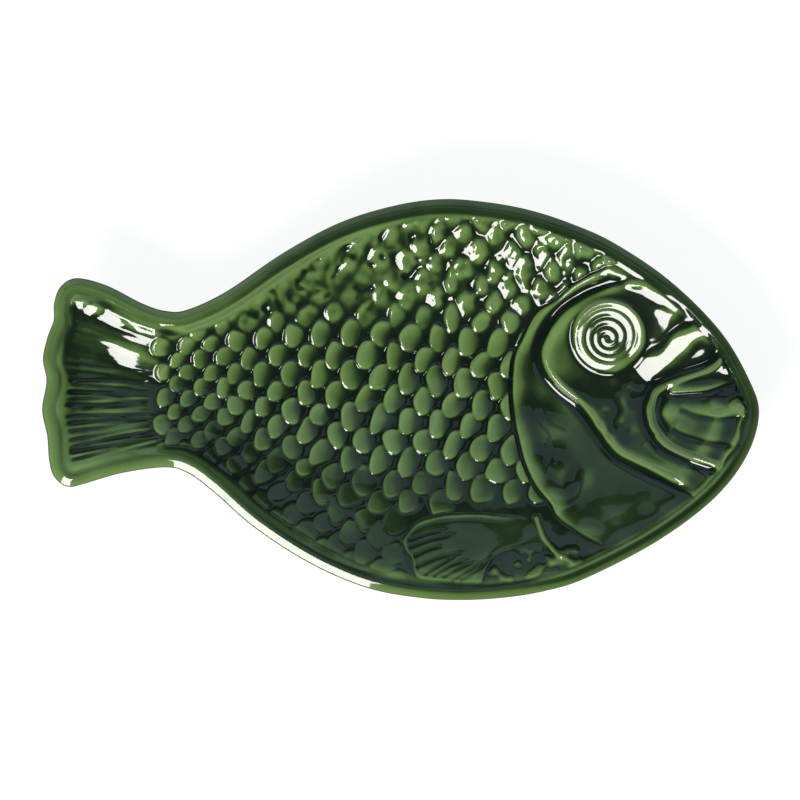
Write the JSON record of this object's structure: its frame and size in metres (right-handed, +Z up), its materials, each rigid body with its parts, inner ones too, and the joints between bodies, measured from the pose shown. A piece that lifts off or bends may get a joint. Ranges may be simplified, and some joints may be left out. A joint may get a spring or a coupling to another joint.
{
  "type": "fish shaped platter",
  "caption": "Green glazed ceramic serving platter in the outline of a fish, with scales, tail fan, gill cover, spiral eye, mouth and fin moulded in its well.",
  "frame": {"origin": "middle of the platter's plan box, on the table", "axes": "+X from the tail to the nose, +Y from the belly to the back, +Z up"},
  "size_m": [0.35, 0.1959, 0.036],
  "materials": {
    "glaze": "glossy transparent green glaze, darker where it pools",
    "bare_clay": "matt, unglazed"
  },
  "bodies": {
    "root": {"dish": "glaze", "foot_ring": "bare_clay", "back_scales": "glaze", "flank_scales": "glaze", "belly_scales": "glaze", "tail_fan": "glaze", "gill_cover": "glaze", "head": "glaze", "eye_spiral": "glaze", "mouth": "glaze", "pectoral_fin": "glaze", "throat_folds": "glaze"}
  },
  "joints": []
}
